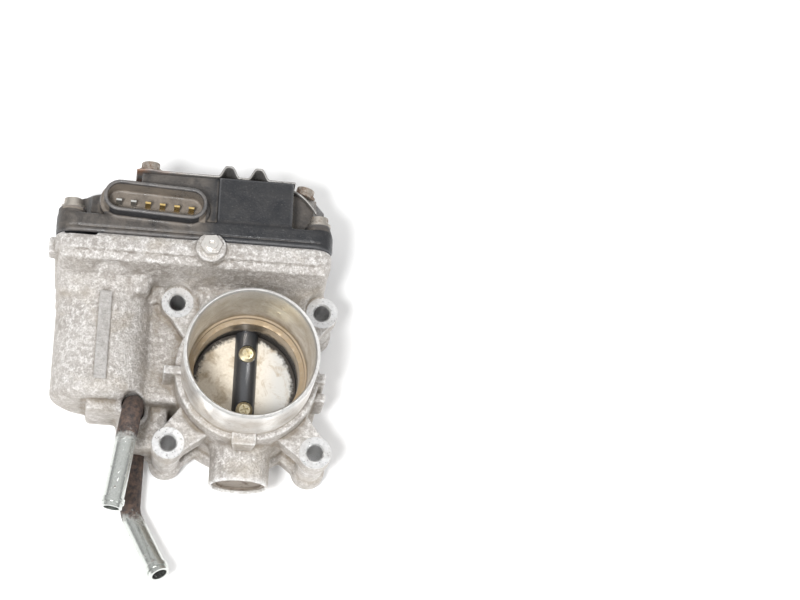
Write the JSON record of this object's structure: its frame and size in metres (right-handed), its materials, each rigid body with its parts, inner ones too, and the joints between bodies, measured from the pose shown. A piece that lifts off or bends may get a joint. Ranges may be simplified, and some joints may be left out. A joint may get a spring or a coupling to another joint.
{
  "type": "electronic throttle body",
  "caption": "Motor-driven throttle body: a cast air duct closed by a plate on a geared shaft, with a gear case, motor housing, plug socket and coolant pipes.",
  "frame": {"origin": "centre of the air bore on the engine flange's face", "axes": "+Z along the bore towards the air inlet, +Y along the throttle shaft towards the gear cover, +X away from the motor"},
  "size_m": [0.1249, 0.1719, 0.0803],
  "materials": {
    "cast_aluminium": "weathered casting with machined faces",
    "black_steel": "satin",
    "plate_brass": "stained satin",
    "yellow_zinc_steel": "yellow plated",
    "bright_steel": "ground",
    "seal_rubber": "matt",
    "spring_steel": "dark",
    "dark_gear_plastic": "moulded",
    "magnet": "nickel grey",
    "pale_gear_plastic": "natural nylon",
    "motor_steel": "zinc plated",
    "pinion_brass": "cut",
    "contact_brass": "gold plated",
    "black_plastic": "moulded, dusty",
    "circuit_board": "solder mask",
    "chip_plastic": "moulded",
    "shield_steel": "dull pressed sheet",
    "screw_steel": "rust spotted",
    "zinc_pipe": "zinc plated, rusty near the casting"
  },
  "bodies": {
    "casting": {"housing": "cast_aluminium", "end_plug": "cast_aluminium", "cover_side_bearing": "bright_steel", "end_side_bearing": "bright_steel", "cover_side_seal": "seal_rubber", "end_side_seal": "seal_rubber", "return_spring": "spring_steel", "intermediate_pin": "bright_steel", "motor_can": "motor_steel", "motor_end_cap": "dark_gear_plastic", "motor_terminals": "contact_brass", "motor_plate": "bright_steel", "motor_plate_screws": "screw_steel", "motor_wave_spring": "spring_steel", "gear_cover": "black_plastic", "cover_gasket": "seal_rubber", "connector_pins": "contact_brass", "sensor_board": "circuit_board", "sensor_chip": "chip_plastic", "heat_shield": "shield_steel", "shield_screws": "screw_steel", "cover_screws": "screw_steel", "stop_screw": "screw_steel", "stop_nut": "screw_steel", "upper_coolant_pipe": "zinc_pipe", "lower_coolant_pipe": "zinc_pipe"},
    "throttle": {"throttle_shaft": "black_steel", "throttle_plate": "plate_brass", "plate_screws": "yellow_zinc_steel", "sector_gear": "dark_gear_plastic", "sector_magnets": "magnet"},
    "intermediate": {"intermediate_gear": "pale_gear_plastic"},
    "rotor": {"motor_shaft": "motor_steel", "motor_pinion": "pinion_brass"}
  },
  "joints": [
    {"name": "throttle_turn", "type": "hinge", "parent": "casting", "child": "throttle", "pos_m": [0, 0, 0.0266], "axis": [0, 1, 0], "range_deg": [-6, 78], "stiffness_Nm_per_rad": 0.05},
    {"name": "intermediate_turn", "type": "hinge", "parent": "casting", "child": "intermediate", "pos_m": [-0.0335, 0, 0.0266], "axis": [0, 1, 0], "range_deg": [-330, 30]},
    {"name": "rotor_turn", "type": "hinge", "parent": "casting", "child": "rotor", "pos_m": [-0.0615, 0, 0.0266], "axis": [0, 1, 0], "range_deg": [-100, 1200]}
  ],
  "couplings": [
    {"joint": "intermediate_turn", "follows": "throttle_turn", "ratio": -4.1538},
    {"joint": "rotor_turn", "follows": "throttle_turn", "ratio": 15.231}
  ]
}
